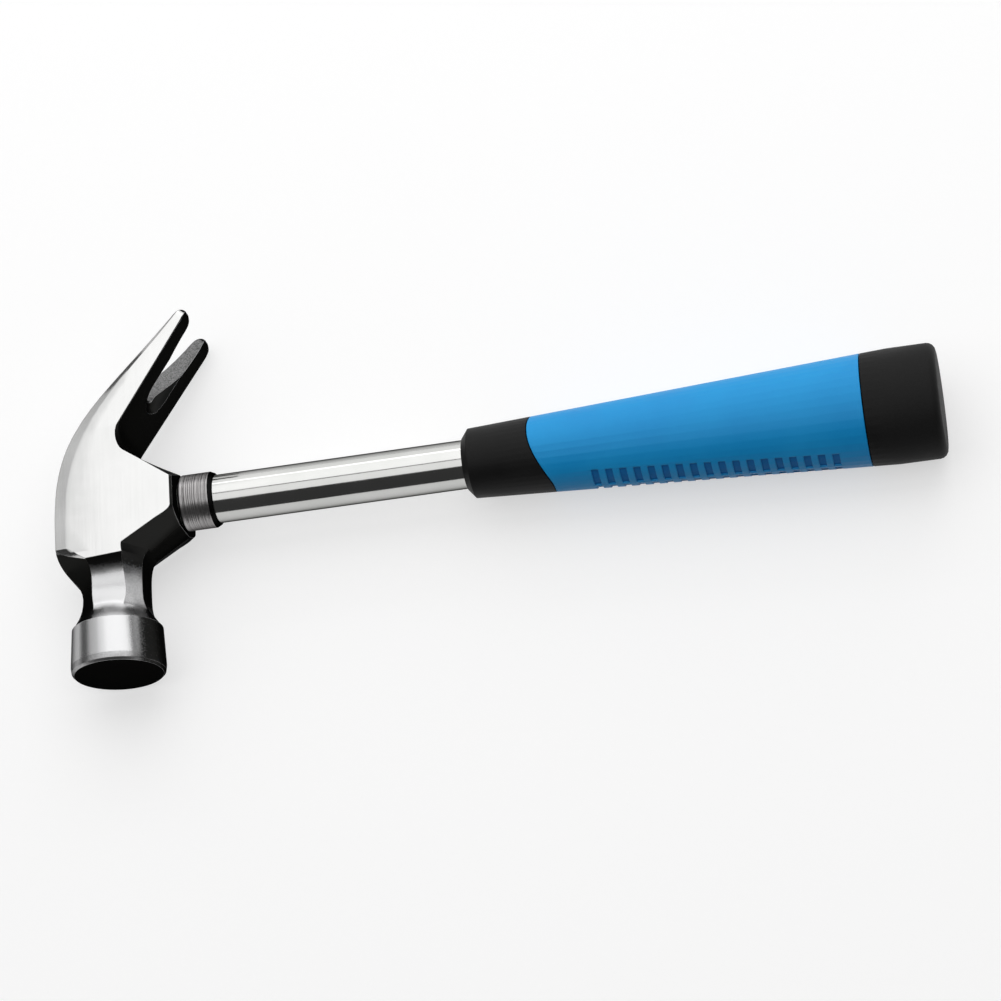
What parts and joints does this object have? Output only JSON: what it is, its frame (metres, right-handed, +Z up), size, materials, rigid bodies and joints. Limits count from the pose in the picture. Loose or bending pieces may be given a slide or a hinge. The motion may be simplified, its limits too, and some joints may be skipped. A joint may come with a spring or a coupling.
{
  "type": "mini claw hammer",
  "caption": "Small claw hammer: polished head with round poll, waisted neck and slotted claw, on a chrome tube handle with a black and blue grooved grip.",
  "frame": {"origin": "under the middle of the hammer's bounding box as it lies on its side, on the surface that it lies on", "axes": "+X along the handle from the head to the butt, +Y from the striking face towards the claw, +Z up, square to the cheeks"},
  "size_m": [0.225, 0.093, 0.0248],
  "materials": {
    "polished_steel": "forged, ground and polished bright",
    "turned_steel": "turned, with fine lathe lines",
    "chrome_tube": "bright chrome plate",
    "plug_steel": "plain steel",
    "black_core": "fine matt texture",
    "blue_sleeve": "satin soft-touch",
    "black_cap": "matt"
  },
  "bodies": {
    "root": {"claw_head": "polished_steel", "neck_collar": "turned_steel", "handle_tube": "chrome_tube", "eye_plug": "plug_steel", "grip_core": "black_core", "grip_sleeve": "blue_sleeve", "butt_cap": "black_cap"}
  },
  "joints": []
}
